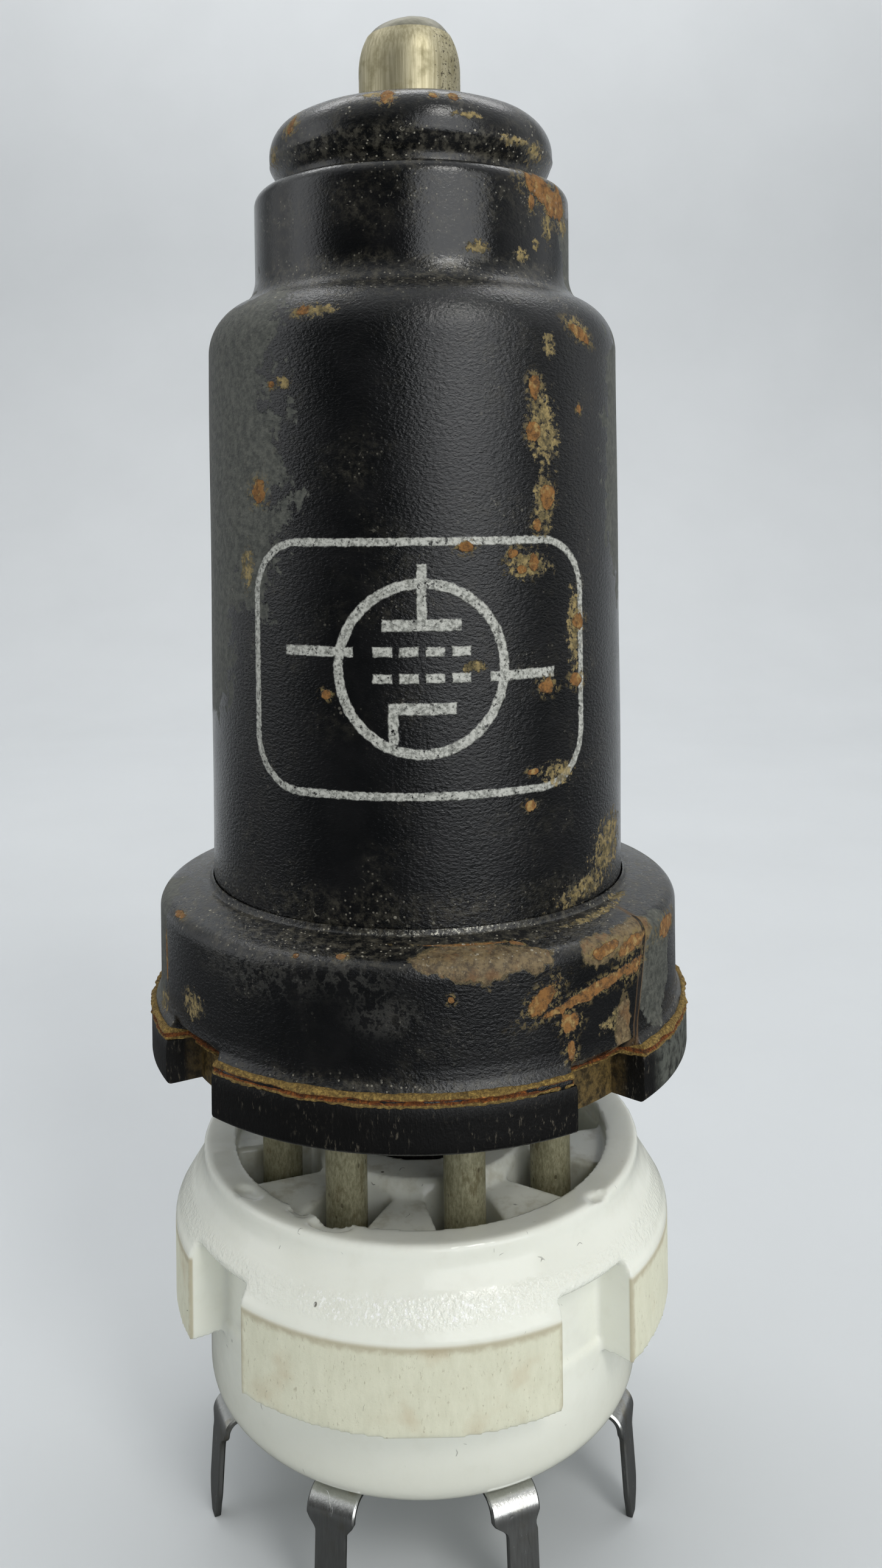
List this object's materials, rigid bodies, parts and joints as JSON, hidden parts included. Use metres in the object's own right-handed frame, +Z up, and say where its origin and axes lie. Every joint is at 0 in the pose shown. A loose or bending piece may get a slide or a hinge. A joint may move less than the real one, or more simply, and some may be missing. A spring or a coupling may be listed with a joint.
{
  "type": "vacuum tube in socket",
  "caption": "Steel-cased receiving tube with a top cap and keyed pin base, standing part way out of a round white ceramic socket with solder tails.",
  "frame": {"origin": "on the bench under the tube's axis, level with the tips of the socket's tails", "axes": "+Z up the tube's axis towards the top cap, -Y towards the front"},
  "size_m": [0.0328, 0.0328, 0.0896],
  "materials": {
    "black_paint": "old satin black paint with rust, scuffs and dust",
    "black_phenolic": "dull black phenolic moulding",
    "bare_steel": "bare drawn steel",
    "pin_brass": "tarnished plated brass",
    "cap_metal": "worn nickel plating with fine vertical brushing",
    "solder": "dull old solder",
    "tinned": "bright tinned spring strip",
    "nickel": "nickel wire and strip",
    "carbonised": "carbon-blackened nickel sheet",
    "mica": "clear amber mica sheet",
    "glass": "green-grey sealing glass",
    "oxide": "white oxide coating",
    "ceramic": "white glaze, bare beige clay on the lug faces"
  },
  "bodies": {
    "socket": {"socket_body": "ceramic", "contact_1": "tinned", "contact_2": "tinned", "contact_3": "tinned", "contact_4": "tinned", "contact_5": "tinned", "contact_6": "tinned", "contact_7": "tinned", "contact_8": "tinned"},
    "tube": {"base_shell": "black_paint", "bottom_mica": "mica", "cap_insulator": "black_phenolic", "cap_solder": "solder", "cap_support": "black_paint", "cathode_lead": "nickel", "cathode_sleeve": "oxide", "control_grid": "nickel", "envelope": "black_paint", "exhaust_tube": "bare_steel", "eyelet_2": "bare_steel", "eyelet_3": "bare_steel", "eyelet_4": "bare_steel", "eyelet_5": "bare_steel", "eyelet_7": "bare_steel", "eyelet_8": "bare_steel", "getter_tab": "nickel", "glass_bead_2": "glass", "glass_bead_3": "glass", "glass_bead_4": "glass", "glass_bead_5": "glass", "glass_bead_7": "glass", "glass_bead_8": "glass", "grid_cap": "cap_metal", "grid_lead_wire": "nickel", "header": "bare_steel", "heater": "oxide", "heater_lead_a": "nickel", "heater_lead_b": "nickel", "mount_support_left": "nickel", "mount_support_right": "nickel", "octal_base": "black_phenolic", "pin_1": "pin_brass", "pin_2": "pin_brass", "pin_3": "pin_brass", "pin_4": "pin_brass", "pin_5": "pin_brass", "pin_7": "pin_brass", "pin_8": "pin_brass", "plate": "carbonised", "plate_lead": "nickel", "screen_grid": "nickel", "screen_lead": "nickel", "shell_lead": "nickel", "spacer_shield": "bare_steel", "stem_shield": "bare_steel", "suppressor_grid": "nickel", "suppressor_lead": "nickel", "top_eyelet": "bare_steel", "top_glass_bead": "glass", "top_mica": "mica"}
  },
  "joints": [
    {"name": "tube_slide", "type": "slide", "parent": "socket", "child": "tube", "axis": [0, 0, 1], "range_m": [-0.006, 0.011]}
  ]
}
